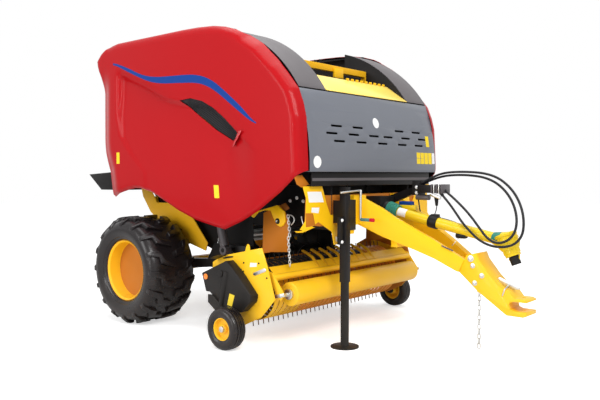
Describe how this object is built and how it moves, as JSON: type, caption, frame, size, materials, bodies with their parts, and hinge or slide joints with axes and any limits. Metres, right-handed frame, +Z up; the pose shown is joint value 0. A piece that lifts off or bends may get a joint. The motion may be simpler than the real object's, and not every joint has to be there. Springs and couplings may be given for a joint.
{
  "type": "round baler",
  "caption": "Trailed belt-type round hay baler with a floating tined pickup, lift-up tailgate, side doors, drawbar, driveline and parking jack.",
  "frame": {"origin": "on the floor under the middle of the machine's box, hoses left out", "axes": "+Z up, -Y towards the hitch and the tractor, +X towards the machine's left side"},
  "size_m": [2.7472, 4.795, 2.833],
  "materials": {
    "red_paint": "gloss",
    "yellow_paint": "gloss",
    "slate_paint": "satin",
    "black_paint": "satin",
    "tyre_rubber": "matte",
    "belt_rubber": "matte",
    "hose_rubber": "satin",
    "zinc": "satin",
    "guard_yellow": "gloss",
    "guard_green": "satin",
    "vent_plastic": "matte",
    "lamp_red": "gloss"
  },
  "bodies": {
    "chassis": {"main_frame": "yellow_paint", "side_frame": "black_paint", "axle": "yellow_paint", "front_channel": "black_paint", "chamber_walls": "black_paint", "upper_frame": "black_paint", "front_rollers": "zinc", "front_belts": "belt_rubber", "front_shield": "slate_paint", "fenders": "slate_paint", "top_plate": "yellow_paint", "cross_rail": "yellow_paint", "gearbox": "black_paint", "pto_cone": "guard_green", "pto_guard": "guard_yellow", "pto_bell": "guard_yellow", "pto_yoke": "black_paint", "drawbar": "yellow_paint", "hitch": "yellow_paint", "jack_tube": "black_paint", "jack_crank": "zinc", "hose_rack": "black_paint", "safety_chain": "zinc", "hose_outer": "hose_rubber", "hose_inner": "hose_rubber"},
    "wheel_right": {"tyre_right": "tyre_rubber", "rim_right": "yellow_paint"},
    "wheel_left": {"tyre_left": "tyre_rubber", "rim_left": "yellow_paint"},
    "pickup": {"pickup_frame": "yellow_paint", "pickup_bands": "yellow_paint", "pickup_cover_right": "black_paint", "pickup_cover_left": "black_paint", "gauge_arm_right": "black_paint", "gauge_arm_left": "black_paint"},
    "gauge_wheel_right": {"gauge_tyre_right": "tyre_rubber", "gauge_rim_right": "yellow_paint"},
    "gauge_wheel_left": {"gauge_tyre_left": "tyre_rubber", "gauge_rim_left": "yellow_paint"},
    "reel": {"pickup_reel": "zinc"},
    "windguard": {"windguard": "yellow_paint"},
    "crop_roller": {"guard_roller": "yellow_paint"},
    "rotor": {"feeder_rotor": "yellow_paint"},
    "tailgate": {"tailgate_frame": "yellow_paint", "tailgate_walls": "black_paint", "tailgate_rollers": "zinc", "tailgate_belts": "belt_rubber", "rear_guard": "black_paint", "tail_lamps": "lamp_red"},
    "door_right": {"side_door_right": "red_paint", "vent_right": "vent_plastic"},
    "door_left": {"side_door_left": "red_paint", "vent_left": "vent_plastic"},
    "jack": {"jack_leg": "black_paint"},
    "ram_barrel_right": {"ram_barrel_right": "black_paint"},
    "ram_rod_right": {"ram_rod_right": "zinc"},
    "ram_barrel_left": {"ram_barrel_left": "black_paint"},
    "ram_rod_left": {"ram_rod_left": "zinc"}
  },
  "joints": [
    {"name": "wheel_spin_right", "type": "hinge", "parent": "chassis", "child": "wheel_right", "pos_m": [-1.04, 1.1875, 0.533], "axis": [1, 0, 0], "continuous": true},
    {"name": "wheel_spin_left", "type": "hinge", "parent": "chassis", "child": "wheel_left", "pos_m": [1.04, 1.1875, 0.533], "axis": [1, 0, 0], "continuous": true},
    {"name": "pickup_lift", "type": "hinge", "parent": "chassis", "child": "pickup", "pos_m": [0, 0.2575, 0.66], "axis": [-1, 0, 0], "range_deg": [0, 14]},
    {"name": "reel_spin", "type": "hinge", "parent": "pickup", "child": "reel", "pos_m": [0, -0.2825, 0.45], "axis": [1, 0, 0], "continuous": true},
    {"name": "windguard_lift", "type": "hinge", "parent": "pickup", "child": "windguard", "pos_m": [0, -0.1725, 0.715], "axis": [-1, 0, 0], "range_deg": [0, 15]},
    {"name": "crop_roller_spin", "type": "hinge", "parent": "windguard", "child": "crop_roller", "pos_m": [0, -0.7025, 0.47], "axis": [1, 0, 0], "continuous": true},
    {"name": "rotor_spin", "type": "hinge", "parent": "chassis", "child": "rotor", "pos_m": [0, 0.2575, 0.66], "axis": [1, 0, 0], "continuous": true},
    {"name": "tailgate_open", "type": "hinge", "parent": "chassis", "child": "tailgate", "pos_m": [0, 0.2375, 2.45], "axis": [1, 0, 0], "range_deg": [0, 60]},
    {"name": "door_right_open", "type": "hinge", "parent": "chassis", "child": "door_right", "pos_m": [-0.996, 0.6875, 2.806], "axis": [0, 1, 0], "range_deg": [0, 70]},
    {"name": "door_left_open", "type": "hinge", "parent": "chassis", "child": "door_left", "pos_m": [0.996, 0.6875, 2.806], "axis": [0, -1, 0], "range_deg": [0, 70]},
    {"name": "jack_slide", "type": "slide", "parent": "chassis", "child": "jack", "axis": [0, 0, 1], "range_m": [0, 0.4]},
    {"name": "gauge_spin_right", "type": "hinge", "parent": "pickup", "child": "gauge_wheel_right", "pos_m": [-1.3, -0.2965, 0.18], "axis": [1, 0, 0], "continuous": true},
    {"name": "gauge_spin_left", "type": "hinge", "parent": "pickup", "child": "gauge_wheel_left", "pos_m": [1.3, -0.2965, 0.18], "axis": [1, 0, 0], "continuous": true},
    {"name": "ram_swing_right", "type": "hinge", "parent": "chassis", "child": "ram_barrel_right", "pos_m": [-0.787, 0.2575, 0.76], "axis": [1, 0, 0], "range_deg": [-2, 5]},
    {"name": "ram_slide_right", "type": "slide", "parent": "ram_barrel_right", "child": "ram_rod_right", "axis": [0, 0.2643, 0.9644], "range_m": [0, 0.56]},
    {"name": "ram_swing_left", "type": "hinge", "parent": "chassis", "child": "ram_barrel_left", "pos_m": [0.787, 0.2575, 0.76], "axis": [1, 0, 0], "range_deg": [-2, 5]},
    {"name": "ram_slide_left", "type": "slide", "parent": "ram_barrel_left", "child": "ram_rod_left", "axis": [0, 0.2643, 0.9644], "range_m": [0, 0.56]}
  ],
  "couplings": [
    {"joint": "ram_swing_right", "follows": "tailgate_open", "ratio": 0.02},
    {"joint": "ram_slide_right", "follows": "tailgate_open", "m_per_rad": 0.50229},
    {"joint": "ram_swing_left", "follows": "tailgate_open", "ratio": 0.02},
    {"joint": "ram_slide_left", "follows": "tailgate_open", "m_per_rad": 0.50229}
  ]
}
